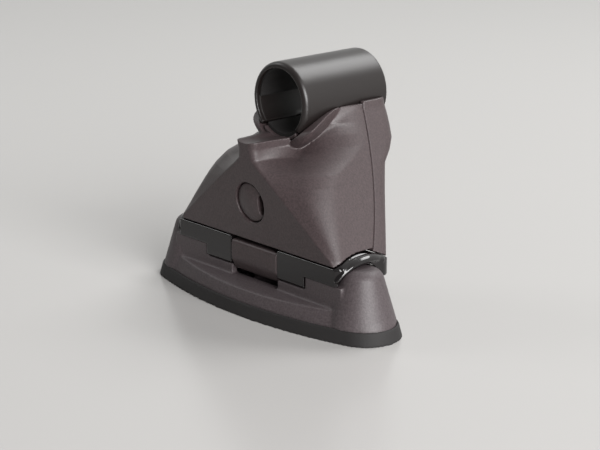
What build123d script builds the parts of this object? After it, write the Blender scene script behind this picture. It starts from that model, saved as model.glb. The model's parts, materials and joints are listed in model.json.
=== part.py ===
from build123d import *
import os
from math import cos, radians, sin, sqrt, tan

os.makedirs("parts", exist_ok=True)

# Sizes in mm. The origin is the middle of the gasket's sole, on the roof.
# X runs along the vehicle, +Y runs inboard along the bar and +Z is up.

# Round bar, held along Y above the pad, and the rubber that grips it.
BAR_DIA = 28.6
BAR_Z = 92.0
GRIP_GAP = 0.1
LINER_T = 1.0
SADDLE_PAD_T = 1.5

# Strap over the bar.
STRAP_T = 2.2
STRAP_Y0 = 2.6
STRAP_LENGTH = 49.4
STRAP_LIP = 0.5
STRAP_OPEN_DEG = 45.0
STRAP_LIFT = 1.0
LEG_T = 2.2
LEG_X = 10.9
LEG_Y0 = 14.0
LEG_WIDTH = 9.0

# Clearances: strap to collar, cover to body, other seams, and parts that turn.
COLLAR_GAP = 0.4
PARTING_GAP = 0.3
SEAM = 0.5
RUN = 0.05

# Reach of cuts that run right through.
FAR = 90.0

# Roof gasket and the foot of the pad that stands in it.
PAD_LENGTH = 149.0
PAD_DEPTH = 48.8
PAD_END_R = 16.0
GASKET_H = 6.0
GASKET_FLARE = 1.6
GASKET_LIP = 1.0
GASKET_FLOOR = 2.0

# Pad base: stepped wall, sloping ledge, domed ends, pocket and roof holes.
WALL_Y = 12.0
WALL_TOP = 22.8
WALL_T = 3.0
LEDGE_Z = 12.8
LEDGE_SLOPE = 0.23
RIM_DRAFT = 0.4
STEP_HALF = 33.4
STEP_Z = 17.2
SLOT_HALF = 15.6
SLOT_Z = 12.7
DOME_X = 56.0
DOME_R = 15.4
DOME_TAPER = 0.29
DOME_TOP = 29.6
DOME_ROUND = 5.5
POCKET_HALF = 44.0
POCKET_FLOOR = 9.0
ROOF_HOLE_DIA = 6.6
ROOF_HOLE_SPACING = 60.0

# Pan-head screws: head and driver socket as shares of the shank's radius.
PAN_HEAD = 1.8
PAN_SOCKET = 0.8

# Keeper plate in the pad, on its pedestal, and its two screws.
KEEPER_HALF = 13.0
KEEPER_T = 2.0
KEEPER_Y0 = -7.2
KEEPER_Y1 = 5.2
PEDESTAL_HALF = 11.0
PEDESTAL_Y0 = -3.0
PEDESTAL_Y1 = 1.0
PEDESTAL_Z = 17.6
KEEPER_SCREW_X = 6.5
KEEPER_SCREW_R = 2.0

# Tower: an A-frame that leans inboard, with a three-cornered flat in front.
TOWER_Z = 30.0
TOWER_HALF = 54.5
FLAT_CORNER_X = 52.1
FLAT_CORNER_Z = 31.4
FLAT_APEX_X = 8.3
FLAT_APEX_Z = 66.2
BEAK_HALF = 5.5
BEAK_TOP = 77.5
BEAK_ROOT_Y = 7.5
BEAK_SPREAD = 1.0
WAIST_SHARE = 0.4
CHEEK_HALF = 12.5
CHEEK_BELOW = 4.0
CORNER_X = 2.2
FRONT_LEAN_DEG = 7.0
BACK_Y = 19.0
BACK_LEAN_DEG = 31.0
HEAD_Z = 70.0
HEAD_Y = 50.4
HEAD_BEND = ((-4.0, 0.0), (6.0, -1.0), (14.0, 0.0))
TOWER_WALL = 2.4
BOWL_WALL = 5.0
BOWL_LENGTH = 7.0
LIP_LENGTH = 20.0
LIP_RISE_Y = 8.0
TOWER_TOP = 90.6
COVER_TOP = 89.7
PARTING_LOW_Y = 6.0
PARTING_MID_Y = 23.0
PARTING_MID_Z = 56.0
PARTING_TOP_Y = 34.7
EDGE_Z = 31.0
EDGE_ARCH = 4.0
EDGE_BACK_DROP = 1.2

# Stations of (height, size) up the tower: the shoulder's place, the rounds at shoulder, crease
# and back, and how far the flank is drawn in to the beak, from 0 for straight to 1.
SHOULDER_Y = ((30.0, -9.5), (57.0, -7.5), (66.0, -2.0), (72.0, 7.0), (78.0, 20.0), (91.0, 33.0))
SHOULDER_R = ((30.0, 3.5), (42.0, 8.0), (54.0, 13.0), (66.0, 16.0), (78.0, 22.0))
CREASE_R = ((30.0, 0.8), (54.0, 2.0), (66.0, 3.0), (78.0, 3.5))
BACK_R = ((30.0, 5.0), (66.0, 9.0), (91.0, 6.0))
DRAWN_IN = ((54.0, 0.0), (60.0, 0.02), (66.0, 0.18), (72.0, 0.9), (78.0, 1.0))

# Skirt: the gloss band between the pad and the tower.
SKIRT_PROUD = 0.4
SKIRT_T = 3.0
SKIRT_FLOOR_T = 2.4
STEP_GAP = 0.8
BEAD_R = 1.8
BEAD_DROP = 0.4
BEAD_INSET = 1.0
BEAD_START = 0.09
BEAD_END = 0.84

# Latch lever, hinged at its top edge, and its pin.
LEVER_PROUD = 0.2
LEVER_TOP = 29.2
LEVER_PIN_Y = -8.0
LEVER_PIN_Z = 25.5
LEVER_PIN_DIA = 3.0
LEVER_EAR = 3.6
LEVER_GAP = 0.4
LEVER_CURL_Z = 21.5
LEVER_CURL_MID = (1.1, 17.5)
LEVER_CURL_IN = 3.4
LEVER_HOOK_LOW = 2.2
LEVER_TOP_ROUND = 1.6

# Tower frame, folded from sheet.
SHEET = 2.5
FRAME_HALF = 40.0
FRAME_Y0 = -2.5
FRAME_Y1 = 13.0
UPRIGHT_X = 15.5
UPRIGHT_BACK_Y = 34.0
BOLT_PLATE_Y = 3.0
BOLT_PLATE_BELOW = 12.0
BOLT_PLATE_ABOVE = 5.5

# Clamp: bolt, wedge with its sloping slot, and cross pin.
BOLT_DIA = 6.0
BOLT_Z = 62.5
BOLT_LENGTH = 28.0
BOLT_HEAD_DIA = 10.0
BOLT_HEAD_H = 6.0
WASHER_T = 1.5
WEDGE_LENGTH = 18.0
WEDGE_Y0 = 8.0
WEDGE_BELOW = 15.0
WEDGE_ABOVE = 5.0
WEDGE_TRAVEL = 6.0
CROSS_PIN_DIA = 5.0
CROSS_PIN_DROP = 9.0

# Foot screws, driven up through skirt and frame into the body.
FOOT_SCREW_R = 2.0
FOOT_SCREW_NEAR_X = 24.0
FOOT_SCREW_FAR_X = FRAME_HALF - 4.0
FOOT_SCREW_Y = 4.0
FOOT_SCREW_GRIP = 9.0
FOOT_BOSS_R = 4.5
FOOT_BOSS_H = 12.0
RIB_T = 3.0

# Lock hole in the flat, its sleeve and the blank plug.
LOCK_Z = 49.3
LOCK_R = 8.8
LOCK_RING = 0.5
LOCK_SHANK_R = 6.4
LOCK_HEAD_H = 4.0
LOCK_SINK = 1.0
LOCK_DOME = 1.4
LOCK_NOTCH_LENGTH = 9.0
LOCK_NOTCH_WIDTH = 3.4
LOCK_NOTCH_DEPTH = 2.6
LOCK_DEPTH = 6.0
LOCK_WALL = 2.0

# Sizes that follow from those above.
BAR_R = BAR_DIA / 2
GRIP_R = BAR_R + GRIP_GAP
STRAP_IN = GRIP_R + LINER_T
STRAP_OUT = STRAP_IN + STRAP_T
STRAP_Y1 = STRAP_Y0 + STRAP_LENGTH
COLLAR_IN = STRAP_OUT + COLLAR_GAP
BOWL_OUT = COLLAR_IN + BOWL_WALL
BOWL_Y0 = STRAP_Y0 - 0.7
BOWL_Y1 = BOWL_Y0 + BOWL_LENGTH
TROUGH_R = BAR_R + 0.9
GRIP_Y0 = STRAP_Y0 + STRAP_T
GRIP_Y1 = HEAD_Y - 1.0
SADDLE_IN = GRIP_R + SADDLE_PAD_T
SADDLE_HALF = LEG_X - SEAM
SIDE_TOP = COLLAR_IN + 1.8
PIN_Z = BOLT_Z - CROSS_PIN_DROP
PIN_Y = LEG_Y0 + LEG_WIDTH / 2
FLOOR_Z = WALL_TOP
FRAME_Z = FLOOR_Z + SKIRT_FLOOR_T
LEAN = tan(radians(FRONT_LEAN_DEG))
BACK_SLOPE = tan(radians(BACK_LEAN_DEG))


def block(x0, x1, y0, y1, z0, z1):
    return Pos((x0 + x1) / 2, (y0 + y1) / 2, (z0 + z1) / 2) * Box(x1 - x0, y1 - y0, z1 - z0)


def rod_x(r, x0, x1, y, z):
    return Pos((x0 + x1) / 2, y, z) * Rot(0, 90, 0) * Cylinder(r, x1 - x0)


def rod_y(r, y0, y1, x=0.0, z=BAR_Z):
    return Pos(x, (y0 + y1) / 2, z) * Rot(90, 0, 0) * Cylinder(r, y1 - y0)


def rod_z(r, z0, z1, x, y):
    return Pos(x, y, (z0 + z1) / 2) * Cylinder(r, z1 - z0)


def prism_x(face, x0, x1):
    return extrude(Plane.YZ.offset(x0) * face, x1 - x0)


def prism_y(face, y0, y1):
    return extrude(Plane.XZ.offset(-y1) * face, y1 - y0)


def area(*points):
    return make_face(Polyline(*points, close=True))


def both(shape):
    return shape + mirror(shape, Plane.YZ)


def save(shape, name):
    shape.label = name
    export_step(shape, "parts/" + name + ".step")


# Pad outline: two shallow arcs meeting two round ends without a corner.
def pad_outline(inset, z):
    end_r = PAD_END_R - inset
    half = PAD_LENGTH / 2 - inset
    deep = PAD_DEPTH / 2 - inset
    end_x = half - end_r
    side_r = (end_x ** 2 + deep ** 2 - end_r ** 2) / (2 * deep - 2 * end_r)
    back = side_r - deep
    reach = side_r / (side_r - end_r)
    tx = end_x * reach
    ty = back * reach - back
    edges = [
        ThreePointArc((-tx, -ty), (0, -deep), (tx, -ty)),
        ThreePointArc((tx, -ty), (half, 0), (tx, ty)),
        ThreePointArc((tx, ty), (0, deep), (-tx, ty)),
        ThreePointArc((-tx, ty), (-half, 0), (-tx, -ty)),
    ]
    return Pos(0, 0, z) * make_face(edges)


# Start, middle and end of the round at each corner. A point with no radius is no corner:
# it draws the side between its neighbours into a curve.
def corner_rounds(points, radii):
    rounds = []
    for i, point in enumerate(points):
        p = Vector(*point)
        if radii[i] is None:
            rounds.append([p])
            continue
        u = (Vector(*points[i - 1]) - p).normalized()
        v = (Vector(*points[(i + 1) % len(points)]) - p).normalized()
        half = radians(u.get_angle(v) / 2)
        middle = p + (u + v).normalized() * (radii[i] / sin(half) - radii[i])
        run = radii[i] / tan(half)
        rounds.append([p + u * run, middle, p + v * run])
    return rounds


def rounded_outline(points, radii, z):
    rounds = corner_rounds(points, radii)
    edges = []
    for i, here in enumerate(rounds):
        after = rounds[(i + 1) % len(rounds)]
        if len(here) == 1:
            edges.append(Bezier(rounds[i - 1][2], here[0], after[0]))
            continue
        edges.append(ThreePointArc(*here))
        if len(after) == 3:
            edges.append(Line(here[2], after[0]))
    return Pos(0, 0, z) * make_face(edges)


# The same outline in straight lines, for hollows that nobody sees.
def chord_outline(points, radii, z):
    rounds = corner_rounds(points, radii)
    corners = []
    for i, here in enumerate(rounds):
        if len(here) == 1:
            corners.append((rounds[i - 1][2] + here[0] * 2 + rounds[(i + 1) % len(rounds)][0]) / 4)
        else:
            corners += [here[0], here[2]]
    return Pos(0, 0, z) * make_face(Polyline(*corners, close=True))


def inset_points(points, inset):
    moved = []
    for i, point in enumerate(points):
        p = Vector(*point)
        u = (p - Vector(*points[i - 1])).normalized()
        v = (Vector(*points[(i + 1) % len(points)]) - p).normalized()
        n = Vector(-u.Y, u.X)
        m = (n + Vector(-v.Y, v.X)).normalized()
        q = p + m * (inset / m.dot(n))
        moved.append((q.X, q.Y))
    return moved


# Smooth value at height z between stations of (height, value).
def between(z, *stations):
    if z <= stations[0][0]:
        return stations[0][1]
    if z >= stations[-1][0]:
        return stations[-1][1]
    slopes = [(b[1] - a[1]) / (b[0] - a[0]) for a, b in zip(stations, stations[1:])]
    ends = [slopes[0]] + [(a + b) / 2 for a, b in zip(slopes, slopes[1:])] + [slopes[-1]]
    i = max(k for k, station in enumerate(stations) if station[0] <= z)
    (z0, v0), (z1, v1) = stations[i], stations[i + 1]
    t = (z - z0) / (z1 - z0)
    bend0 = ends[i] - slopes[i]
    bend1 = ends[i + 1] - slopes[i]
    return v0 + (v1 - v0) * t + (z1 - z0) * t * (1 - t) * (bend0 * (1 - t) - bend1 * t)


# One level section of the tower: flat in front, flanks drawn in to a beak, plain sides and back.
def tower_section(z, inset=0.0):
    side = max(TOWER_HALF - (TOWER_HALF - SIDE_TOP) * (z - TOWER_Z) / (COVER_TOP - TOWER_Z), SIDE_TOP)
    side = min(side, TOWER_HALF)
    fall = (FLAT_CORNER_X - FLAT_APEX_X) / (FLAT_APEX_Z - FLAT_CORNER_Z)
    beak = between(z, (BEAK_TOP, BEAK_HALF), (COVER_TOP - CHEEK_BELOW, CHEEK_HALF))
    flat = max(min(FLAT_CORNER_X - (z - FLAT_CORNER_Z) * fall, side - CORNER_X), beak)
    front = -WALL_Y - LEAN * (min(max(z, TOWER_Z), BEAK_TOP) - TOWER_Z)
    slab = BACK_Y + BACK_SLOPE * (max(z, TOWER_Z) - TOWER_Z)
    low, middle, high = [(HEAD_Z + up, HEAD_Y + inboard) for up, inboard in HEAD_BEND]
    back = slab if z < low[0] else between(z, (low[0], slab), middle, high)
    shoulder = between(z, *SHOULDER_Y)
    drawn = between(z, *DRAWN_IN)
    waist_x = (1 - drawn) * (flat + WAIST_SHARE * (side - flat)) + drawn * (flat + BEAK_SPREAD)
    waist_y = (1 - drawn) * (front + WAIST_SHARE * (shoulder - front)) + drawn * BEAK_ROOT_Y
    half = [(flat, front), (waist_x, waist_y), (side, shoulder), (side, back)]
    points = half + [(-x, y) for x, y in reversed(half)]
    crease_r, shoulder_r, back_r = [between(z, *s) for s in (CREASE_R, SHOULDER_R, BACK_R)]
    radii = [crease_r, None, shoulder_r, back_r, back_r, shoulder_r, None, crease_r]
    if inset:
        points = inset_points(points, inset)
        radii = [r and max(r - inset, 0.5) for r in radii]
    return points, radii


def tower_skin(levels, inset=0.0):
    return loft([rounded_outline(*tower_section(z, inset), z) for z in levels], ruled=True)


def tower_room(levels, inset):
    return loft([chord_outline(*tower_section(z, inset), z) for z in levels], ruled=True)


tower_low = TOWER_Z - 1.0
level_step = (TOWER_TOP + 1.4 - tower_low) / 14
tower = tower_skin([tower_low + level_step * i for i in range(15)])
tower_inside = tower_room([tower_low - 3, 42, 54, 66, 72, 78, 84, TOWER_TOP + 4], TOWER_WALL)


# Curved parting surface between front cover and body, and the arched lower edge of both.
parting_low = (PARTING_LOW_Y, TOWER_Z - 2)
parting_top = (PARTING_TOP_Y, TOWER_TOP + 2)
parting_line = Spline(parting_low, (PARTING_MID_Y, PARTING_MID_Z), parting_top)
parting_rest = Polyline(
    parting_top, (PARTING_TOP_Y, 2 * FAR), (FAR, 2 * FAR), (FAR, 0), (PARTING_LOW_Y, 0), parting_low
)
behind_parting = prism_x(make_face([parting_line] + parting_rest.edges()), -FAR, FAR)


def edge_arch(gap):
    return ThreePointArc(
        (-WALL_Y, EDGE_Z - gap),
        (WALL_Y / 4, EDGE_Z + EDGE_ARCH - gap),
        (BACK_Y, EDGE_Z - EDGE_BACK_DROP - gap),
    )


def below_edge(gap):
    back_z = EDGE_Z - EDGE_BACK_DROP - gap
    rest = Polyline(
        (BACK_Y, back_z), (FAR, back_z), (FAR, 0), (-FAR, 0), (-FAR, EDGE_Z - gap), (-WALL_Y, EDGE_Z - gap)
    )
    return prism_x(make_face([edge_arch(gap)] + rest.edges()), -FAR, FAR)


# The cover's edge runs level behind the arch's crown, so that it clears the skirt as it draws off.
crown = (WALL_Y / 4, EDGE_Z + EDGE_ARCH)
crown_arch = edge_arch(0).trim(0, edge_arch(0).param_at_point(crown))
crown_rest = Polyline(crown, (FAR, crown[1]), (FAR, 0), (-FAR, 0), (-FAR, EDGE_Z), (-WALL_Y, EDGE_Z))
below_cover = prism_x(make_face([crown_arch] + crown_rest.edges()), -FAR, FAR)


# Roof gasket: a rubber tray with flared sides and two holes for the roof bolts.
roof_gasket = loft([pad_outline(0, 0), pad_outline(GASKET_FLARE, GASKET_H)])
foot_inset = GASKET_FLARE + GASKET_LIP
roof_gasket -= extrude(pad_outline(foot_inset, GASKET_FLOOR), GASKET_H)
for x in (-ROOF_HOLE_SPACING / 2, ROOF_HOLE_SPACING / 2):
    roof_gasket -= rod_z(ROOF_HOLE_DIA / 2, -1, GASKET_H, x, 0)
save(roof_gasket, "roof_gasket")

# Pad base: a ribless moulding with a sloping ledge before the wall and a domed cone at each end.
flange = extrude(pad_outline(foot_inset, GASKET_FLOOR), GASKET_H - GASKET_FLOOR)
flange += loft([pad_outline(foot_inset, GASKET_H), pad_outline(foot_inset + RIM_DRAFT * 7, GASKET_H + 7)])
outer_y = PAD_DEPTH
ledge_cut = prism_x(
    area(
        (-WALL_Y, LEDGE_Z), (-WALL_Y, FAR), (-outer_y, FAR),
        (-outer_y, LEDGE_Z - LEDGE_SLOPE * (outer_y - WALL_Y)),
    ),
    -FAR, FAR,
)
flange -= ledge_cut
flange -= mirror(ledge_cut, Plane.XZ)
pad_base = flange + block(-DOME_X, DOME_X, -WALL_Y, WALL_Y, GASKET_FLOOR, WALL_TOP)
dome_h = DOME_TOP - GASKET_H
dome = Pos(0, 0, dome_h / 2) * Cone(DOME_R, DOME_R - DOME_TAPER * dome_h, dome_h)
dome = fillet(dome.edges().group_by(Axis.Z)[-1], DOME_ROUND)
pad_base += both(Pos(DOME_X, 0, GASKET_H) * dome)
pad_base -= block(-POCKET_HALF, POCKET_HALF, -WALL_Y + WALL_T, WALL_Y - WALL_T, POCKET_FLOOR, FAR)
pad_base -= block(-STEP_HALF, STEP_HALF, -WALL_Y - 1, -WALL_Y + WALL_T + 1, STEP_Z, FAR)
pad_base -= block(-SLOT_HALF, SLOT_HALF, -WALL_Y - 1, -WALL_Y + WALL_T + 1, SLOT_Z, FAR)
pad_base += block(-PEDESTAL_HALF, PEDESTAL_HALF, PEDESTAL_Y0, PEDESTAL_Y1, POCKET_FLOOR, PEDESTAL_Z)
keeper_y = (PEDESTAL_Y0 + PEDESTAL_Y1) / 2
for x in (-KEEPER_SCREW_X, KEEPER_SCREW_X):
    pad_base -= rod_z(KEEPER_SCREW_R, POCKET_FLOOR + 2, PEDESTAL_Z + 1, x, keeper_y)
for x in (-ROOF_HOLE_SPACING / 2, ROOF_HOLE_SPACING / 2):
    pad_base -= rod_z(ROOF_HOLE_DIA / 2, 0, WALL_TOP, x, 0)
save(pad_base, "pad_base")

# Keeper plate: steel strip with a lip front and rear for the two hooks.
keeper_top = PEDESTAL_Z + KEEPER_T
keeper_plate = block(-KEEPER_HALF, KEEPER_HALF, KEEPER_Y0, KEEPER_Y1, PEDESTAL_Z, keeper_top)
keeper_screws = []
for x in (-KEEPER_SCREW_X, KEEPER_SCREW_X):
    keeper_plate -= rod_z(KEEPER_SCREW_R, PEDESTAL_Z - 1, keeper_top + 1, x, keeper_y)
    screw = rod_z(KEEPER_SCREW_R, POCKET_FLOOR + 2, keeper_top, x, keeper_y)
    screw += rod_z(KEEPER_SCREW_R * PAN_HEAD, keeper_top, keeper_top + 1.8, x, keeper_y)
    screw -= rod_z(KEEPER_SCREW_R * PAN_SOCKET, keeper_top + 0.8, keeper_top + 3, x, keeper_y)
    keeper_screws.append(screw)
save(keeper_plate, "keeper_plate")
save(Compound(children=keeper_screws), "keeper_screws")

# Skirt: gloss ring with a floor, stepped in front, arched over the domes, with ears for the lever pin.
skirt_low = STEP_Z + STEP_GAP
skirt_top = EDGE_Z + EDGE_ARCH
skirt_outer = tower_skin([skirt_low, TOWER_Z, skirt_top - 1.5, skirt_top + 2], -SKIRT_PROUD)
skirt_inner = tower_room([skirt_low - 1, TOWER_Z, skirt_top + 3], SKIRT_T - SKIRT_PROUD)
skirt = (skirt_outer - skirt_inner) & below_edge(SEAM)
bead_arc = edge_arch(SEAM + BEAD_DROP + BEAD_R).trim(BEAD_START, BEAD_END)
bead_line = Plane.YZ.offset(TOWER_HALF - BEAD_INSET) * bead_arc
bead = sweep(Plane(bead_line @ 0, z_dir=bead_line % 0) * Circle(BEAD_R), path=bead_line)
skirt += both(bead)
step_x = STEP_HALF - LEVER_GAP
skirt -= both(block(step_x, FAR, -FAR, FAR, 0, WALL_TOP))
skirt -= block(-FAR, FAR, -WALL_Y + WALL_T + 1, FAR, 0, WALL_TOP)
skirt += block(-POCKET_HALF, POCKET_HALF, -FAR, FAR, FLOOR_Z, FRAME_Z) & skirt_outer
slot_x = SLOT_HALF
lever_back = LEVER_PIN_Y + LEVER_EAR + 1.4
skirt -= block(-slot_x, slot_x, -FAR, lever_back, 0, FAR)
skirt -= block(-PEDESTAL_HALF, PEDESTAL_HALF, PEDESTAL_Y1 + 0.5, WALL_Y - WALL_T, 0, FRAME_Z)
ear = block(slot_x, slot_x + 4, LEVER_PIN_Y - 2.6, LEVER_PIN_Y + 3.4, FLOOR_Z, LEVER_TOP)
skirt += both(ear)
skirt -= rod_x(LEVER_PIN_DIA / 2, -FAR, FAR, LEVER_PIN_Y, LEVER_PIN_Z)
tunnel_half = DOME_R - DOME_TAPER * (WALL_TOP - GASKET_H) + SEAM
tunnel_top = DOME_R - DOME_TAPER * dome_h + SEAM
tunnel = make_face(
    Polyline(
        (-tunnel_half - 1.5, WALL_TOP - 5), (-tunnel_top, DOME_TOP + SEAM),
        (tunnel_top, DOME_TOP + SEAM), (tunnel_half + 1.5, WALL_TOP - 5), close=True,
    )
)
tunnel = fillet(tunnel.vertices().group_by(Axis.Y)[-1], DOME_ROUND)
skirt -= both(prism_x(tunnel, POCKET_HALF, FAR))
foot_holes = [(x * s, FOOT_SCREW_Y) for x in (FOOT_SCREW_NEAR_X, FOOT_SCREW_FAR_X) for s in (-1, 1)]
for x, y in foot_holes:
    skirt -= rod_z(FOOT_SCREW_R, 0, FAR, x, y)
save(skirt, "skirt")

# Latch lever: a tab hinged at its top, curving under to a hook below the keeper's front lip.
face_y = -WALL_Y - SKIRT_PROUD - LEVER_PROUD
hook_top = PEDESTAL_Z - LEVER_GAP
tip_y = (KEEPER_Y0 + PEDESTAL_Y0) / 2
lever_low = SLOT_Z + LEVER_HOOK_LOW
curl_start = (face_y, LEVER_CURL_Z)
curl_middle = (face_y + LEVER_CURL_MID[0], LEVER_CURL_MID[1])
curl_end = (face_y + LEVER_CURL_IN, lever_low)
outline = [
    Line((face_y, LEVER_TOP), curl_start),
    Spline(curl_start, curl_middle, curl_end, tangents=((0, -1), (1, -0.35))),
    Line(curl_end, (tip_y, lever_low)),
    Line((tip_y, lever_low), (tip_y, hook_top)),
    Line((tip_y, hook_top), (KEEPER_Y0 - LEVER_GAP, hook_top)),
    Line((KEEPER_Y0 - LEVER_GAP, hook_top), (KEEPER_Y0 - LEVER_GAP, LEVER_PIN_Z)),
    Line((KEEPER_Y0 - LEVER_GAP, LEVER_PIN_Z), (KEEPER_Y0 - LEVER_GAP, LEVER_TOP)),
    Line((KEEPER_Y0 - LEVER_GAP, LEVER_TOP), (face_y, LEVER_TOP)),
]
lever_half = SLOT_HALF - LEVER_GAP
latch_lever = prism_x(make_face(outline), -lever_half, lever_half)
top_front = latch_lever.edges().filter_by(Axis.X).group_by(Axis.Z)[-1].sort_by(Axis.Y)[0]
latch_lever = fillet(top_front, LEVER_TOP_ROUND)
latch_lever += rod_x(LEVER_EAR, -lever_half, lever_half, LEVER_PIN_Y, LEVER_PIN_Z)
latch_lever -= rod_x(LEVER_PIN_DIA / 2 + RUN, -FAR, FAR, LEVER_PIN_Y, LEVER_PIN_Z)
save(latch_lever, "latch_lever")
lever_pin = rod_x(LEVER_PIN_DIA / 2, -slot_x - 4, slot_x + 4, LEVER_PIN_Y, LEVER_PIN_Z)
save(lever_pin, "lever_pin")

# Tower frame: folded sheet with a foot, a rear hook, two leaning uprights and a plate for the clamp bolt.
upright_top = HEAD_Z
frame_z1 = FRAME_Z + SHEET
tower_frame = block(-FRAME_HALF, FRAME_HALF, FRAME_Y0, FRAME_Y1, FRAME_Z, frame_z1)
hook_y = KEEPER_Y1 + 1.0
toe_z = PEDESTAL_Z - LEVER_GAP
tower_frame += block(-PEDESTAL_HALF + 1, PEDESTAL_HALF - 1, hook_y, hook_y + SHEET, toe_z - SHEET, FRAME_Z)
tower_frame += block(
    -PEDESTAL_HALF + 1, PEDESTAL_HALF - 1, PEDESTAL_Y1 + 0.8, hook_y, toe_z - SHEET, toe_z
)
upright = prism_x(
    area(
        (FRAME_Y0, FRAME_Z), (FRAME_Y1, FRAME_Z), (UPRIGHT_BACK_Y, upright_top), (WEDGE_Y0, upright_top),
        (BOLT_PLATE_Y, BOLT_Z), (BOLT_PLATE_Y, BOLT_Z - BOLT_PLATE_BELOW),
    ),
    UPRIGHT_X, UPRIGHT_X + SHEET,
)
tower_frame += both(upright)
tower_frame += block(
    -UPRIGHT_X, UPRIGHT_X, BOLT_PLATE_Y, BOLT_PLATE_Y + SHEET,
    BOLT_Z - BOLT_PLATE_BELOW, BOLT_Z + BOLT_PLATE_ABOVE,
)
tower_frame -= rod_y(BOLT_DIA / 2 + 0.3, 0, 12, 0, BOLT_Z)
for x, y in foot_holes:
    tower_frame -= rod_z(FOOT_SCREW_R, 0, FAR, x, y)
save(tower_frame, "tower_frame")

# Foot screws: pan heads under the skirt's floor.
foot_screws = []
for x, y in foot_holes:
    screw = rod_z(FOOT_SCREW_R, FLOOR_Z, frame_z1 + FOOT_SCREW_GRIP, x, y)
    screw += rod_z(FOOT_SCREW_R * PAN_HEAD, FLOOR_Z - 2.4, FLOOR_Z, x, y)
    screw -= rod_z(FOOT_SCREW_R * PAN_SOCKET, FLOOR_Z - 3, FLOOR_Z - 1.0, x, y)
    foot_screws.append(screw)
save(Compound(children=foot_screws), "foot_screws")

# Tower body: the inboard half with the saddle that runs out under the bar.
strap_room = rod_y(COLLAR_IN, BOWL_Y0, FAR)
tower_body = tower & Pos(0, PARTING_GAP, 0) * behind_parting
tower_body -= tower_inside & block(-FAR, FAR, -FAR, FAR, 0, HEAD_Z)
tower_body -= strap_room
tower_body -= block(-FAR, FAR, -FAR, FAR, TOWER_TOP, 2 * FAR)
tower_body -= below_edge(0)
saddle = rod_y(COLLAR_IN + 0.2, BOWL_Y1 + 1.5, HEAD_Y - 0.5)
saddle += rod_y(STRAP_OUT, BOWL_Y0 + 1.2, HEAD_Y - 0.5)
saddle += block(-SADDLE_HALF, SADDLE_HALF, BOWL_Y1 + 1.5, HEAD_Y - 8, HEAD_Z + 2.5, BAR_Z - SADDLE_IN)
saddle -= rod_y(SADDLE_IN, -FAR, FAR)
saddle &= block(-SADDLE_HALF, SADDLE_HALF, -FAR, FAR, 0, BAR_Z - 4)
tower_body += saddle
for x, y in foot_holes:
    tower_body += rod_z(FOOT_BOSS_R, frame_z1, frame_z1 + FOOT_BOSS_H, x, y)
    rib = block(x - RIB_T / 2, x + RIB_T / 2, y, FAR, EDGE_Z + 1, frame_z1 + FOOT_BOSS_H)
    tower_body += rib & tower_inside
    tower_body -= rod_z(FOOT_SCREW_R, 0, frame_z1 + FOOT_SCREW_GRIP, x, y)
save(tower_body, "tower_body")

# Saddle pad: rubber strip under the bar.
saddle_pad = rod_y(SADDLE_IN, GRIP_Y0, GRIP_Y1) - rod_y(GRIP_R, -FAR, FAR)
saddle_pad &= block(-SADDLE_HALF + 1, SADDLE_HALF - 1, -FAR, FAR, 0, BAR_Z)
save(saddle_pad, "saddle_pad")

# Bar strap: a sleeve open below, rolled in at its outboard lip, with two legs down into the tower.
bar_strap = rod_y(STRAP_OUT, STRAP_Y0, STRAP_Y1)
bar_strap = fillet(bar_strap.edges().filter_by(GeomType.CIRCLE).sort_by(Axis.Y)[0], STRAP_T)
bar_strap = fillet(bar_strap.edges().filter_by(GeomType.CIRCLE).sort_by(Axis.Y)[-1], 0.8)
bar_strap -= rod_y(STRAP_IN, GRIP_Y0, FAR)
bar_strap -= rod_y(STRAP_IN - STRAP_LIP, -FAR, FAR)
spread = FAR * tan(radians(STRAP_OPEN_DEG))
bar_strap -= prism_y(area((0, BAR_Z), (-spread, BAR_Z - FAR), (spread, BAR_Z - FAR)), -FAR, FAR)
leg_top = BAR_Z - STRAP_IN * cos(radians(STRAP_OPEN_DEG)) - 0.6
leg = block(LEG_X, LEG_X + LEG_T, LEG_Y0, LEG_Y0 + LEG_WIDTH, PIN_Z - 4, leg_top)
leg -= rod_x(CROSS_PIN_DIA / 2, 0, FAR, PIN_Y, PIN_Z)
bar_strap += both(leg)
save(bar_strap, "bar_strap")
strap_liner = rod_y(STRAP_IN, GRIP_Y0, GRIP_Y1) - rod_y(GRIP_R, -FAR, FAR)
strap_liner &= block(-FAR, FAR, -FAR, FAR, BAR_Z, 2 * FAR)
save(strap_liner, "strap_liner")

# Cross pin through both legs.
cross_pin = rod_x(CROSS_PIN_DIA / 2, -LEG_X - LEG_T - 1.4, LEG_X + LEG_T + 1.4, PIN_Y, PIN_Z)
save(cross_pin, "cross_pin")

# Wedge block on the clamp bolt; its slot rises towards the bolt's head.
rise = STRAP_LIFT / WEDGE_TRAVEL
slot_r = CROSS_PIN_DIA / 2 + 0.3
slot_end = (PIN_Y - WEDGE_TRAVEL - 0.5, PIN_Z + STRAP_LIFT + 0.5 * rise)
slot_start = (PIN_Y + 0.5, PIN_Z - 0.5 * rise)
wedge_y1 = WEDGE_Y0 + WEDGE_LENGTH
wedge_z0 = BOLT_Z - WEDGE_BELOW
wedge_side = area(
    (WEDGE_Y0, wedge_z0), (PIN_Y + 2.5, wedge_z0), (wedge_y1, BOLT_Z - 4), (wedge_y1, BOLT_Z + WEDGE_ABOVE),
    (WEDGE_Y0, BOLT_Z + WEDGE_ABOVE),
)
wedge_block = prism_x(wedge_side, -SADDLE_HALF, SADDLE_HALF)
wedge_block -= rod_y(BOLT_DIA / 2 + RUN, 0, FAR, 0, BOLT_Z)
slot = SlotCenterToCenter(
    sqrt((slot_start[0] - slot_end[0]) ** 2 + (slot_start[1] - slot_end[1]) ** 2), 2 * slot_r
)
slot_angle = -Vector(1, 0).get_angle(Vector(slot_start[0] - slot_end[0], slot_start[1] - slot_end[1]))
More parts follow.
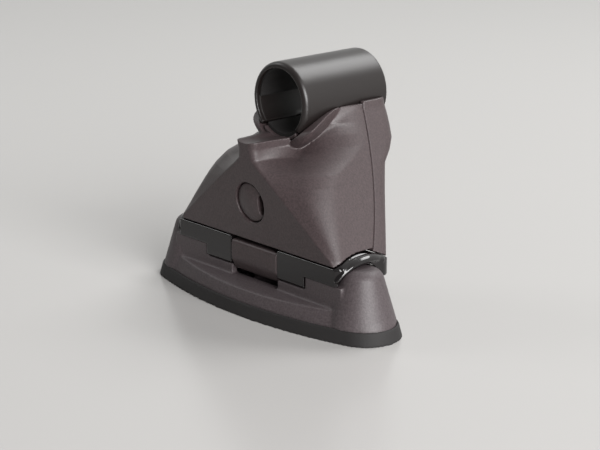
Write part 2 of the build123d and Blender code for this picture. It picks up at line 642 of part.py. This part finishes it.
slot_middle = ((slot_start[0] + slot_end[0]) / 2, (slot_start[1] + slot_end[1]) / 2)
wedge_block -= prism_x(Pos(*slot_middle) * Rot(0, 0, slot_angle) * slot, -FAR, FAR)
save(wedge_block, "wedge_block")

# Clamp bolt with a hexagon socket, its washer and the clip that keeps it in the plate.
head_y = BOLT_PLATE_Y - WASHER_T
clamp_bolt = rod_y(BOLT_DIA / 2, head_y, head_y + BOLT_LENGTH, 0, BOLT_Z)
clamp_bolt += rod_y(BOLT_HEAD_DIA / 2, head_y - BOLT_HEAD_H, head_y, 0, BOLT_Z)
socket = RegularPolygon(BOLT_DIA * 0.42, 6, major_radius=False)
clamp_bolt -= prism_y(Pos(0, BOLT_Z) * socket, head_y - BOLT_HEAD_H - 1, head_y - BOLT_HEAD_H / 2)
save(clamp_bolt, "clamp_bolt")
washer = rod_y(BOLT_HEAD_DIA * 0.62, head_y, BOLT_PLATE_Y, 0, BOLT_Z)
washer -= rod_y(BOLT_DIA / 2 + 0.3, -FAR, FAR, 0, BOLT_Z)
save(washer, "clamp_washer")
clip_y = BOLT_PLATE_Y + SHEET + 0.2
bolt_clip = rod_y(BOLT_DIA * 0.8, clip_y, clip_y + 1.0, 0, BOLT_Z)
bolt_clip -= rod_y(BOLT_DIA / 2, -FAR, FAR, 0, BOLT_Z)
bolt_clip -= block(-1.6, 1.6, clip_y - 1, clip_y + 2, BOLT_Z - 12, BOLT_Z)
save(bolt_clip, "bolt_clip")

# Front cover: a thin moulding that draws off outboard, with a bowl under the strap's mouth
# whose lip climbs along the strap on both sides.
lip_y = BOWL_Y0 + LIP_LENGTH
cover_edge = Spline(
    (BOWL_Y0, BEAK_TOP), (BOWL_Y0 + LIP_RISE_Y, COVER_TOP - CHEEK_BELOW), (lip_y, COVER_TOP),
    tangents=((0.35, 1), (1, 0)),
)
cover_rest = Polyline(
    (lip_y, COVER_TOP), (FAR, COVER_TOP), (FAR, 2 * FAR), (-FAR, 2 * FAR), (-FAR, BEAK_TOP),
    (BOWL_Y0, BEAK_TOP),
)
above_cover = prism_x(make_face([cover_edge] + cover_rest.edges()), -FAR, FAR)
bowl = Rot(90, 0, 0) * Cone(COLLAR_IN + 0.6, BOWL_OUT, LIP_LENGTH)
bowl = Pos(0, (BOWL_Y0 + lip_y) / 2, BAR_Z) * bowl
bowl = fillet(bowl.edges().filter_by(GeomType.CIRCLE).sort_by(Axis.Y)[0], BOWL_WALL * 0.7)
lip_x = LEG_X + LEG_T + 0.8
lip_z = BAR_Z - sqrt(BOWL_OUT ** 2 - lip_x ** 2)
bowl -= block(-FAR, FAR, BOWL_Y1, FAR, 0, lip_z)
bowl -= block(-lip_x, lip_x, BOWL_Y1, FAR, 0, BAR_Z)
cover_room = tower_inside - bowl - block(-FAR, FAR, -FAR, BOWL_Y1, BEAK_TOP - TOWER_WALL, 2 * FAR)
cover_room -= rod_y(TROUGH_R + TOWER_WALL, -FAR, BOWL_Y0)
front_cover = tower - behind_parting - below_cover + bowl - cover_room
front_cover -= strap_room
front_cover -= rod_y(TROUGH_R, -FAR, BOWL_Y0)
front_cover -= above_cover
flat_y = -WALL_Y - LEAN * (LOCK_Z - TOWER_Z)
lock_plane = Plane((0, flat_y, LOCK_Z), x_dir=(1, 0, 0), z_dir=(0, -1, -LEAN))
hole_r = LOCK_R + LOCK_RING
lock_in = LOCK_HEAD_H + LOCK_DEPTH
boss = extrude(lock_plane.offset(-lock_in) * Circle(hole_r + LOCK_WALL), lock_in - 1.0)
front_cover += boss
front_cover -= extrude(lock_plane.offset(-lock_in - 1) * Circle(hole_r), lock_in + 5)
save(front_cover, "front_cover")

# Lock sleeve pressed into the cover, and the blank plug that fills it.
sleeve_in = LOCK_HEAD_H + 0.5
lock_sleeve = extrude(lock_plane.offset(-lock_in) * Circle(hole_r), lock_in - sleeve_in)
lock_sleeve -= extrude(lock_plane.offset(-lock_in + 1.5) * Circle(LOCK_SHANK_R), lock_in)
save(lock_sleeve, "lock_sleeve")
dome_r = (LOCK_R ** 2 + LOCK_DOME ** 2) / (2 * LOCK_DOME)
lock_plug = extrude(lock_plane.offset(-LOCK_HEAD_H) * Circle(LOCK_R), LOCK_HEAD_H + LOCK_DOME)
lock_plug &= lock_plane * Pos(0, 0, LOCK_DOME - LOCK_SINK - dome_r) * Sphere(dome_r)
lock_plug += extrude(lock_plane.offset(-lock_in + 2.0) * Circle(LOCK_SHANK_R - RUN), LOCK_DEPTH - 1.0)
notch = SlotOverall(LOCK_NOTCH_LENGTH, LOCK_NOTCH_WIDTH, rotation=90)
notch = lock_plane.offset(-LOCK_SINK - LOCK_NOTCH_DEPTH) * Pos(LOCK_R - LOCK_NOTCH_WIDTH / 2, 0) * notch
lock_plug -= extrude(notch, FAR)
save(lock_plug, "lock_plug")
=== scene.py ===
import json
from math import pi

import bmesh
import bpy
from mathutils import Matrix, Vector

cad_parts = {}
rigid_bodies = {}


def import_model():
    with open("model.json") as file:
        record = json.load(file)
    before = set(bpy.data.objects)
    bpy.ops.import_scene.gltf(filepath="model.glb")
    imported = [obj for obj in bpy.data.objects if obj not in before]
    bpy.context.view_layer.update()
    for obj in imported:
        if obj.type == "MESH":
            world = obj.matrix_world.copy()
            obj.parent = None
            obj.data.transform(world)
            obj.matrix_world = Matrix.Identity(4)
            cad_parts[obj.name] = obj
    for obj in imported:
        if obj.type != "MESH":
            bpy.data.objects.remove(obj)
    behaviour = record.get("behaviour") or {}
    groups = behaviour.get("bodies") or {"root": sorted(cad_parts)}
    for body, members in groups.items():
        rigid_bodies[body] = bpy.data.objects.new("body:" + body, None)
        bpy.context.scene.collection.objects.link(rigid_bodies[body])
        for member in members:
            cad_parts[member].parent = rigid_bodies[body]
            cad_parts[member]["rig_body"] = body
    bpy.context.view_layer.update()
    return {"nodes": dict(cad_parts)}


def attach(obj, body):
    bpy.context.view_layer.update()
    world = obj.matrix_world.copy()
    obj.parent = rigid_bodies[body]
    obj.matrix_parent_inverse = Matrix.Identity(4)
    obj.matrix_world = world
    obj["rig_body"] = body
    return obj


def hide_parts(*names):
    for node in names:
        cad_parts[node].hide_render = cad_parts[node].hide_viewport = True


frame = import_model()

# Roof gasket: the rubber sole between pad and roof, moulded in one piece of EPDM.
# Its rim grips the foot of the pad all round, and no fixing shows.
MM = 0.001
MERGE_MM = 0.0005
MOST_TRIANGLES = 160000
BLOOM_MM = 9.0
SKIN_MM = 0.8
SKIN_RELIEF_MM = 0.03


def linear(hex_colour):
    """sRGB hex to the linear colour that a shader takes."""
    shares = [int(hex_colour[i:i + 2], 16) / 255 for i in (1, 3, 5)]
    return [s / 12.92 if s <= 0.04045 else ((s + 0.055) / 1.055) ** 2.4 for s in shares] + [1.0]


def node(tree, kind, inputs=None, **settings):
    """Adds one node, sets it, and links or fills its inputs."""
    made = tree.nodes.new(kind)
    for name, value in settings.items():
        setattr(made, name, value)
    for socket, value in (inputs or {}).items():
        if isinstance(value, bpy.types.NodeSocket):
            tree.links.new(value, made.inputs[socket])
        else:
            made.inputs[socket].default_value = value
    return made


def finish_of(name, **constants):
    """A new material with its Principled shader, and the place on the piece that its patterns read."""
    material = bpy.data.materials.new(name)
    material.use_nodes = True
    tree = material.node_tree
    shader = tree.nodes["Principled BSDF"]
    for socket, value in constants.items():
        shader.inputs[socket.replace("_", " ")].default_value = value
    place = node(tree, "ShaderNodeTexCoord").outputs["Object"]
    return material, tree, shader, place


def placed(name, data):
    """An object for a mesh, lamp or camera, at the origin of the scene."""
    made = bpy.data.objects.new(name, data)
    bpy.context.scene.collection.objects.link(made)
    return made


def plain_mesh(raw):
    """The mesh that an object's modifiers give. The object itself goes."""
    mesh = bpy.data.meshes.new_from_object(raw.evaluated_get(bpy.context.evaluated_depsgraph_get()))
    bpy.data.objects.remove(raw)
    return mesh


def stand_for(cad_node, mesh):
    """Puts a finished mesh in the place of a CAD node, on the same body."""
    piece = placed(cad_node + "_piece", mesh)
    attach(piece, frame["nodes"][cad_node]["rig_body"])
    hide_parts(cad_node)


def raw_copy(cad_node):
    """A copy of a CAD node with its triangles joined at their edges, for modifiers to work on."""
    mesh = frame["nodes"][cad_node].data.copy()
    shape = bmesh.new()
    shape.from_mesh(mesh)
    bmesh.ops.remove_doubles(shape, verts=shape.verts, dist=MERGE_MM * MM)
    shape.to_mesh(mesh)
    shape.free()
    return placed("raw_" + cad_node, mesh)


def moulding(cad_node, material, voxel_mm, rounds, raw=None):
    """A copy of a CAD solid with its arrises rounded, as a mould or a coat of paint leaves them."""
    raw = raw or raw_copy(cad_node)
    remesh = raw.modifiers.new("even_skin", "REMESH")
    remesh.mode = "VOXEL"
    remesh.voxel_size = voxel_mm * MM
    smooth = raw.modifiers.new("arrises", "SMOOTH")
    smooth.factor = 0.5
    smooth.iterations = rounds
    skin = plain_mesh(raw)
    triangles = 2 * len(skin.polygons)
    if triangles > MOST_TRIANGLES:
        dense = placed("dense_" + cad_node, skin)
        dense.modifiers.new("fewer_faces", "DECIMATE").ratio = MOST_TRIANGLES / triangles
        skin = plain_mesh(dense)
    skin.materials.clear()
    skin.materials.append(material)
    skin.shade_smooth()
    stand_for(cad_node, skin)


def dress(material, *names):
    """Gives a material to CAD nodes that keep their shape."""
    for name in names:
        frame["nodes"][name].data.materials.clear()
        frame["nodes"][name].data.materials.append(material)


# EPDM rubber, moulded: matte charcoal, cloudy from the mould's bloom, with a fine skin.
rubber, tree, shader, place = finish_of("epdm_rubber_moulded", Roughness=0.75, IOR=1.5)
bloom = node(tree, "ShaderNodeTexNoise", {"Vector": place, "Scale": 1 / (BLOOM_MM * MM), "Detail": 3.0})
tone = node(
    tree, "ShaderNodeMix", {"Factor": bloom.outputs["Fac"], "A": linear("#121010"), "B": linear("#191616")},
    data_type="RGBA",
)
tree.links.new(tone.outputs["Result"], shader.inputs["Base Color"])
skin = node(tree, "ShaderNodeTexNoise", {"Vector": place, "Scale": 1 / (SKIN_MM * MM), "Detail": 2.0})
bump = node(
    tree, "ShaderNodeBump", {"Height": skin.outputs["Fac"], "Distance": SKIN_RELIEF_MM * MM, "Strength": 0.6}
)
tree.links.new(bump.outputs["Normal"], shader.inputs["Normal"])

moulding("roof_gasket", rubber, voxel_mm=0.6, rounds=4)

# Pad base: one glass-filled nylon moulding with a stepped wall, a ledge and domed ends.
# It stays bolted to the roof when the tower is unlatched from it.
GRAIN_MM = 0.8
CLOUD_MM = 14.0


def grained_plastic(name, ior, dark, light, smoothest, dullest, relief_mm):
    """A plastic from a spark-eroded mould: specks in two tones, a fine relief and a sheen that drifts."""
    plastic, tree, shader, place = finish_of(name, IOR=ior)
    grain = node(tree, "ShaderNodeTexNoise", {"Vector": place, "Scale": 1 / (GRAIN_MM * MM), "Detail": 2.0})
    speck = node(
        tree, "ShaderNodeMapRange", {"Value": grain.outputs["Fac"], "From Min": 0.3, "From Max": 0.7}
    )
    tone = node(
        tree, "ShaderNodeMix", {"Factor": speck.outputs["Result"], "A": linear(dark), "B": linear(light)},
        data_type="RGBA",
    )
    tree.links.new(tone.outputs["Result"], shader.inputs["Base Color"])
    cloud = node(tree, "ShaderNodeTexNoise", {"Vector": place, "Scale": 1 / (CLOUD_MM * MM), "Detail": 4.0})
    dull = node(
        tree, "ShaderNodeMapRange", {"Value": cloud.outputs["Fac"], "To Min": smoothest, "To Max": dullest}
    )
    tree.links.new(dull.outputs["Result"], shader.inputs["Roughness"])
    bump = node(
        tree, "ShaderNodeBump", {"Height": grain.outputs["Fac"], "Distance": relief_mm * MM, "Strength": 0.8}
    )
    tree.links.new(bump.outputs["Normal"], shader.inputs["Normal"])
    return plastic


# Glass-filled nylon, spark-grained: dry grey-black, with specks that catch the light.
# The grain is drawn at about twice its real size, so that it shows at this distance.
nylon = grained_plastic(
    "glass_filled_nylon_grained", 1.53, "#383032", "#4a4244", smoothest=0.48, dullest=0.6, relief_mm=0.1
)

moulding("pad_base", nylon, voxel_mm=0.6, rounds=4)

# Keeper plate: a stamped strip of zinc-plated steel in the pad, held by two pan-head screws.
# Both hooks of the tower catch under its edges.
SPANGLE_MM = 2.5

# Zinc-plated steel: pale, dull and a little cloudy.
zinc, tree, shader, place = finish_of("zinc_plated_steel", Metallic=1.0)
cloud = node(tree, "ShaderNodeTexNoise", {"Vector": place, "Scale": 1 / (SPANGLE_MM * MM), "Detail": 4.0})
tone = node(
    tree, "ShaderNodeMix", {"Factor": cloud.outputs["Fac"], "A": linear("#a9acb0"), "B": linear("#c6c8ca")},
    data_type="RGBA",
)
tree.links.new(tone.outputs["Result"], shader.inputs["Base Color"])
dull = node(tree, "ShaderNodeMapRange", {"Value": cloud.outputs["Fac"], "To Min": 0.28, "To Max": 0.46})
tree.links.new(dull.outputs["Result"], shader.inputs["Roughness"])

dress(zinc, "keeper_plate", "keeper_screws")

# Skirt: the gloss band between pad and tower, one moulding of polished black nylon.
# It is screwed up against the tower's frame and arches over the pad's domes.
HAZE_MM = 6.0
ROLL_HALF_WIDTH = 3.4 * MM
ROLL_HALF_HEIGHT = 2.3 * MM
ROLL_TIP_SHARE = 0.6
ROLL_FADE = 0.4
ROLL_START = (52.4 * MM, -10.9 * MM, 25.0 * MM)
ROLL_CLIMB = (54.6 * MM, -9.8 * MM, 32.0 * MM)
ROLL_CROWN = (55.4 * MM, 7.0 * MM, 35.0 * MM)
ROLL_END = (50.5 * MM, 15.0 * MM, 29.0 * MM)
ARCH_STEPS = 60
OVAL_STEPS = 28

# Polished nylon: near black, and it mirrors what stands round it through a slight haze.
gloss, tree, shader, place = finish_of("black_nylon_polished", Base_Color=linear("#110e0f"), IOR=1.53)
haze = node(tree, "ShaderNodeTexNoise", {"Vector": place, "Scale": 1 / (HAZE_MM * MM), "Detail": 5.0})
polish = node(tree, "ShaderNodeMapRange", {"Value": haze.outputs["Fac"], "To Min": 0.06, "To Max": 0.16})
tree.links.new(polish.outputs["Result"], shader.inputs["Roughness"])


def tree_with_inputs(name, kinds):
    """A Geometry Nodes tree that takes a mesh and named inputs, and the sockets of those inputs."""
    tree = bpy.data.node_groups.new(name, "GeometryNodeTree")
    tree.interface.new_socket("Geometry", in_out="INPUT", socket_type="NodeSocketGeometry")
    sockets = {
        label: tree.interface.new_socket(label, in_out="INPUT", socket_type="NodeSocket" + kind)
        for label, kind in kinds.items()
    }
    tree.interface.new_socket("Geometry", in_out="OUTPUT", socket_type="NodeSocketGeometry")
    return tree, sockets


def add_tree(raw, tree, sockets, values):
    """Puts a Geometry Nodes tree on an object, with its inputs set by their sockets."""
    modifier = raw.modifiers.new(tree.name, "NODES")
    modifier.node_group = tree
    for label, value in values.items():
        modifier[sockets[label].identifier] = value


# The tree lays a roll along the arch at each end, which swells out of the band's front corner.
roll_tree, roll_sockets = tree_with_inputs("arch_roll", {
    "Start": "Vector", "Climb": "Vector", "Crown": "Vector", "End": "Vector", "Profile": "Vector",
    "Tip Share": "Float", "Fade": "Float", "Plastic": "Material",
})
given = node(roll_tree, "NodeGroupInput").outputs
arch = node(
    roll_tree, "GeometryNodeCurvePrimitiveBezierSegment",
    {"Resolution": ARCH_STEPS, "Start": given["Start"], "Start Handle": given["Climb"],
     "End Handle": given["Crown"], "End": given["End"]},
)
levelled = node(roll_tree, "GeometryNodeSetCurveNormal", {"Curve": arch.outputs["Curve"]}, mode="Z_UP")
along = node(roll_tree, "GeometryNodeSplineParameter")
fade = node(
    roll_tree, "ShaderNodeMapRange",
    {"Value": along.outputs["Factor"], "From Max": given["Fade"],
     "To Min": given["Tip Share"], "To Max": 1.0},
    interpolation_type="SMOOTHERSTEP",
)
ring = node(roll_tree, "GeometryNodeCurvePrimitiveCircle", {"Resolution": OVAL_STEPS, "Radius": 1.0})
oval = node(
    roll_tree, "GeometryNodeTransform", {"Geometry": ring.outputs["Curve"], "Scale": given["Profile"]}
)
roll = node(
    roll_tree, "GeometryNodeCurveToMesh",
    {"Curve": levelled.outputs["Curve"], "Profile Curve": oval.outputs["Geometry"],
     "Scale": fade.outputs["Result"], "Fill Caps": True},
)
other = node(roll_tree, "GeometryNodeTransform", {"Geometry": roll.outputs["Mesh"], "Scale": (-1, 1, 1)})
turned = node(roll_tree, "GeometryNodeFlipFaces", {"Mesh": other.outputs["Geometry"]})
whole = node(roll_tree, "GeometryNodeJoinGeometry", {"Geometry": given["Geometry"]})
roll_tree.links.new(roll.outputs["Mesh"], whole.inputs["Geometry"])
roll_tree.links.new(turned.outputs["Mesh"], whole.inputs["Geometry"])
real = node(roll_tree, "GeometryNodeRealizeInstances", {"Geometry": whole.outputs["Geometry"]})
faced = node(
    roll_tree, "GeometryNodeSetMaterial", {"Geometry": real.outputs["Geometry"], "Material": given["Plastic"]}
)
node(roll_tree, "NodeGroupOutput", {"Geometry": faced.outputs["Geometry"]})

raw_skirt = raw_copy("skirt")
add_tree(raw_skirt, roll_tree, roll_sockets, {
    "Start": ROLL_START, "Climb": ROLL_CLIMB, "Crown": ROLL_CROWN, "End": ROLL_END,
    "Profile": (ROLL_HALF_WIDTH, ROLL_HALF_HEIGHT, 1), "Tip Share": ROLL_TIP_SHARE, "Fade": ROLL_FADE,
    "Plastic": gloss,
})
moulding("skirt", gloss, voxel_mm=0.3, rounds=2, raw=raw_skirt)

# Latch lever: the matte tab in the middle of the band, moulded in ASA.
# It turns on a steel pin between the skirt's ears, and its hook holds the keeper.

# ASA, spark-grained: brown-black, with a grain that breaks the light into a soft sheen.
# This grain too is drawn at about twice its real size.
asa = grained_plastic(
    "asa_fine_grain", 1.5, "#32292a", "#423738", smoothest=0.42, dullest=0.54, relief_mm=0.08
)

moulding("latch_lever", asa, voxel_mm=0.3, rounds=3)
dress(zinc, "lever_pin")

# Tower frame: sheet steel, folded and zinc plated, which carries the load from strap to pad.
# Four screws through the skirt's floor hold it to the body.
dress(zinc, "tower_frame", "foot_screws")

# Tower body: the inboard half of the tower, moulded in the same ASA as the cover.
# Screws from below hold it to the frame, and a strip of rubber lines its saddle.
moulding("tower_body", asa, voxel_mm=0.42, rounds=2)
dress(rubber, "saddle_pad")

# Clamp: a bolt draws the cast wedge outboard, and its slot pulls the cross pin and strap down.
# The bolt is a knurled steel cap screw, turned with a hexagon key and kept by washer and clip.
BOLT_Z = 62.5 * MM
BOLT_R = 3.0 * MM
HEAD_R = 5.0 * MM
HEAD_Y0 = -4.5 * MM
HEAD_Y1 = 1.5 * MM
THREAD_Y0 = 7.6 * MM
THREAD_Y1 = 29.0 * MM
THREAD_DEPTH = 0.5 * MM
THREAD_STEPS = 24
RIDGE_SIDES = 4
PITCH = 1.0 * MM
KNURL_DEPTH = 0.2 * MM
KNURLS = 60
FLOW_MM = 3.0

# Zinc alloy, die cast: flat grey metal with the cloudy flow marks of the die.
alloy, tree, shader, place = finish_of("die_cast_zinc_alloy", Metallic=1.0, Roughness=0.5)
flow = node(tree, "ShaderNodeTexNoise", {"Vector": place, "Scale": 1 / (FLOW_MM * MM), "Detail": 5.0})
tone = node(
    tree, "ShaderNodeMix", {"Factor": flow.outputs["Fac"], "A": linear("#8f9093"), "B": linear("#a9aaac")},
    data_type="RGBA",
)
tree.links.new(tone.outputs["Result"], shader.inputs["Base Color"])

dress(alloy, "wedge_block")
dress(zinc, "cross_pin", "clamp_washer", "bolt_clip")

# The tree adds a helical thread and the head's straight knurl to the plain bolt.
bolt_tree, bolt_sockets = tree_with_inputs("thread_and_knurl", {
    "Axis Height": "Float", "Core Radius": "Float", "Thread Depth": "Float", "Pitch": "Float",
    "Thread Start": "Float", "Thread Length": "Float", "Head Start": "Float", "Head Length": "Float",
    "Knurl Radius": "Float", "Knurl Depth": "Float", "Knurls": "Int", "Metal": "Material",
})
given = node(bolt_tree, "NodeGroupInput").outputs
turns = node(bolt_tree, "ShaderNodeMath", {0: given["Thread Length"], 1: given["Pitch"]}, operation="DIVIDE")
helix = node(
    bolt_tree, "GeometryNodeCurveSpiral",
    {"Resolution": THREAD_STEPS, "Rotations": turns.outputs[0], "Start Radius": given["Core Radius"],
     "End Radius": given["Core Radius"], "Height": given["Thread Length"]},
)
upright = node(bolt_tree, "GeometryNodeSetCurveNormal", {"Curve": helix.outputs["Curve"]}, mode="Z_UP")
flanks = node(
    bolt_tree, "GeometryNodeCurvePrimitiveCircle",
    {"Resolution": RIDGE_SIDES, "Radius": given["Thread Depth"]},
)
ridge = node(
    bolt_tree, "GeometryNodeCurveToMesh",
    {"Curve": upright.outputs["Curve"], "Profile Curve": flanks.outputs["Curve"], "Fill Caps": True},
)
ring = node(
    bolt_tree, "GeometryNodeMeshCircle", {"Vertices": given["Knurls"], "Radius": given["Knurl Radius"]}
)
spot = node(bolt_tree, "GeometryNodeInputPosition")
outward = node(
    bolt_tree, "FunctionNodeAlignRotationToVector", {"Vector": spot.outputs[0]}, axis="X", pivot_axis="Z"
)
tooth = node(
    bolt_tree, "GeometryNodeMeshCone",
    {"Vertices": RIDGE_SIDES, "Radius Top": given["Knurl Depth"], "Radius Bottom": given["Knurl Depth"],
     "Depth": given["Head Length"]},
)
teeth = node(
    bolt_tree, "GeometryNodeInstanceOnPoints",
    {"Points": ring.outputs["Mesh"], "Instance": tooth.outputs["Mesh"],
     "Rotation": outward.outputs["Rotation"]},
)
whole = node(bolt_tree, "GeometryNodeJoinGeometry", {"Geometry": given["Geometry"]})
for added, start in ((ridge.outputs["Mesh"], "Thread Start"), (teeth.outputs["Instances"], "Head Start")):
    offset = node(bolt_tree, "ShaderNodeCombineXYZ", {"Y": given[start], "Z": given["Axis Height"]})
    laid = node(
        bolt_tree, "GeometryNodeTransform",
        {"Geometry": added, "Translation": offset.outputs[0], "Rotation": (-pi / 2, 0, 0)},
    )
    bolt_tree.links.new(laid.outputs["Geometry"], whole.inputs["Geometry"])
real = node(bolt_tree, "GeometryNodeRealizeInstances", {"Geometry": whole.outputs["Geometry"]})
faced = node(
    bolt_tree, "GeometryNodeSetMaterial", {"Geometry": real.outputs["Geometry"], "Material": given["Metal"]}
)
node(bolt_tree, "NodeGroupOutput", {"Geometry": faced.outputs["Geometry"]})

raw_bolt = raw_copy("clamp_bolt")
for vertex in raw_bolt.data.vertices:
    across = Vector((vertex.co.x, 0, vertex.co.z - BOLT_Z))
    if vertex.co.y > THREAD_Y0 and across.length > BOLT_R / 2:
        across *= (BOLT_R - THREAD_DEPTH) / across.length
    elif across.length > HEAD_R - KNURL_DEPTH:
        across *= (HEAD_R - KNURL_DEPTH) / across.length
    vertex.co = (across.x, vertex.co.y, across.z + BOLT_Z)
add_tree(raw_bolt, bolt_tree, bolt_sockets, {
    "Axis Height": BOLT_Z, "Core Radius": BOLT_R - THREAD_DEPTH, "Thread Depth": THREAD_DEPTH, "Pitch": PITCH,
    "Thread Start": THREAD_Y0, "Thread Length": THREAD_Y1 - THREAD_Y0, "Head Start": HEAD_Y0,
    "Head Length": HEAD_Y1 - HEAD_Y0, "Knurl Radius": HEAD_R - KNURL_DEPTH, "Knurl Depth": KNURL_DEPTH,
    "Knurls": KNURLS, "Metal": zinc,
})
stand_for("clamp_bolt", plain_mesh(raw_bolt))

# Bar strap: a sleeve of pressed steel with a half-gloss stoved coat, rolled in at its outboard lip.
# Its legs run down to the cross pin, and a rubber liner gives it grip.
PEEL_MM = 2.2
PEEL_RELIEF_MM = 0.02

# Stoved coat on steel: smooth brown-black with a faint orange peel and a broad highlight.
coat, tree, shader, place = finish_of(
    "stoved_coat_on_steel", Base_Color=linear("#171211"), Roughness=0.38, IOR=1.5
)
peel = node(tree, "ShaderNodeTexNoise", {"Vector": place, "Scale": 1 / (PEEL_MM * MM), "Detail": 2.0})
bump = node(
    tree, "ShaderNodeBump", {"Height": peel.outputs["Fac"], "Distance": PEEL_RELIEF_MM * MM, "Strength": 0.4}
)
tree.links.new(bump.outputs["Normal"], shader.inputs["Normal"])

moulding("bar_strap", coat, voxel_mm=0.4, rounds=3)
dress(rubber, "strap_liner")

# Front cover: a thin ASA moulding that draws off outboard to uncover the clamp.
# The cast sleeve of the lock is pressed into it, and a blank ASA plug fills the hole.
BACKED_X = (4.0 * MM, 30.0 * MM)
BACKED_Y = (-12.0 * MM, 9.0 * MM)
BACKED_Z = (60.0 * MM, 76.0 * MM)
BACKING = 1.1 * MM
MOST_INBOARD_TURN = 0.2

# The solid's wall is thin beside the beak, so its outer faces there are backed up from inside.
raw_cover = raw_copy("front_cover")
shape = bmesh.new()
shape.from_mesh(raw_cover.data)
backed = []
for face in shape.faces:
    middle = face.calc_center_median()
    faces_out = face.normal.x * middle.x > 0 and face.normal.y < MOST_INBOARD_TURN
    spans = zip((abs(middle.x), middle.y, middle.z), (BACKED_X, BACKED_Y, BACKED_Z))
    if faces_out and all(low < value < high for value, (low, high) in spans):
        backed.append(face)
copies = bmesh.ops.duplicate(shape, geom=backed)["geom"]
lining = [part for part in copies if isinstance(part, bmesh.types.BMFace)]
bmesh.ops.solidify(shape, geom=lining, thickness=BACKING)
shape.to_mesh(raw_cover.data)
shape.free()
moulding("front_cover", asa, voxel_mm=0.36, rounds=2, raw=raw_cover)
dress(alloy, "lock_sleeve")
moulding("lock_plug", asa, voxel_mm=0.25, rounds=3)

# Floor: a wide sheet with pale gloss paint, which mirrors the sole a little and takes its shadow.
# It has no part in the object.
FLOOR_HALF = 4.0

# Gloss paint: an even pale grey with a soft mirror image near the foot.
paint = finish_of("pale_gloss_paint", Base_Color=linear("#c2c0be"), Roughness=0.25, IOR=1.45)[0]
floor_mesh = bpy.data.meshes.new("floor")
corners = [(x * FLOOR_HALF, y * FLOOR_HALF, 0) for x, y in ((-1, -1), (1, -1), (1, 1), (-1, 1))]
floor_mesh.from_pydata(corners, [], [(0, 1, 2, 3)])
floor_mesh.materials.append(paint)
floor = placed("floor", floor_mesh)

# Studio light: a large soft box beside the foot, one high behind it and a weak one on the left.
# The world is dim for the object. The camera and mirror images see it pale behind the foot.
MIDDLE = Vector((0, 0.01, 0.06))
SOFT_BOXES = {
    "side_box": {"place": (2.1, -0.41, 0.84), "size": (1.6, 1.25), "watts": 100},
    "top_box": {"place": (0.03, 0.81, 1.02), "size": (0.8, 0.42), "watts": 8.5},
    "left_box": {"place": (-0.85, -0.35, 0.75), "size": (0.4, 0.3), "watts": 1.8},
}
WORLD_FOR_OBJECT = 0.08
WORLD_OUTBOARD = 0.2
WORLD_INBOARD = 1.0
WORLD_TURN = (-0.6, 0.5)

for name, box in SOFT_BOXES.items():
    lamp = bpy.data.lights.new(name, "AREA")
    lamp.shape = "RECTANGLE"
    lamp.size, lamp.size_y = box["size"]
    lamp.energy = box["watts"]
    soft_box = placed(name, lamp)
    soft_box.location = box["place"]
    soft_box.rotation_euler = (MIDDLE - soft_box.location).to_track_quat("-Z", "Y").to_euler()

world = bpy.data.worlds.new("studio")
bpy.context.scene.world = world
world.use_nodes = True
tree = world.node_tree
ray = node(tree, "ShaderNodeLightPath").outputs
direct = node(
    tree, "ShaderNodeMath", {0: ray["Is Camera Ray"], 1: ray["Is Glossy Ray"]}, operation="MAXIMUM"
)
seen = node(
    tree, "ShaderNodeMath", {0: direct.outputs[0], 1: ray["Is Transmission Ray"]}, operation="MAXIMUM"
)
facing = node(tree, "ShaderNodeTexCoord").outputs["Generated"]
toward = node(tree, "ShaderNodeSeparateXYZ", {"Vector": facing})
pale = node(
    tree, "ShaderNodeMapRange",
    {"Value": toward.outputs["Y"], "From Min": WORLD_TURN[0], "From Max": WORLD_TURN[1],
     "To Min": WORLD_OUTBOARD, "To Max": WORLD_INBOARD},
)
strength = node(
    tree, "ShaderNodeMapRange",
    {"Value": seen.outputs[0], "To Min": WORLD_FOR_OBJECT, "To Max": pale.outputs["Result"]},
)
tree.nodes["Background"].inputs["Color"].default_value = linear("#f4f4f2")
tree.links.new(strength.outputs["Result"], tree.nodes["Background"].inputs["Strength"])
bpy.context.scene.view_settings.view_transform = "Standard"

# Camera: outboard of the foot and a little above the strap, at the photograph's angle.
# Its directions and its place come from a fit to the photograph.
camera = bpy.data.cameras.new("camera")
camera.sensor_width = 36
camera.lens = 109.18
camera.clip_start = 0.01
view_right = Vector((0.6670, 0.7451, -0.0011))
view_up = Vector((-0.2119, 0.1910, 0.9585))
view_back = view_right.cross(view_up).normalized()
view_up = view_back.cross(view_right).normalized()
stand = placed("camera", camera)
stand.matrix_world = Matrix((view_right, view_up, view_back)).transposed().to_4x4()
stand.location = (0.5859, -0.5090, 0.2673)
bpy.context.scene.camera = stand
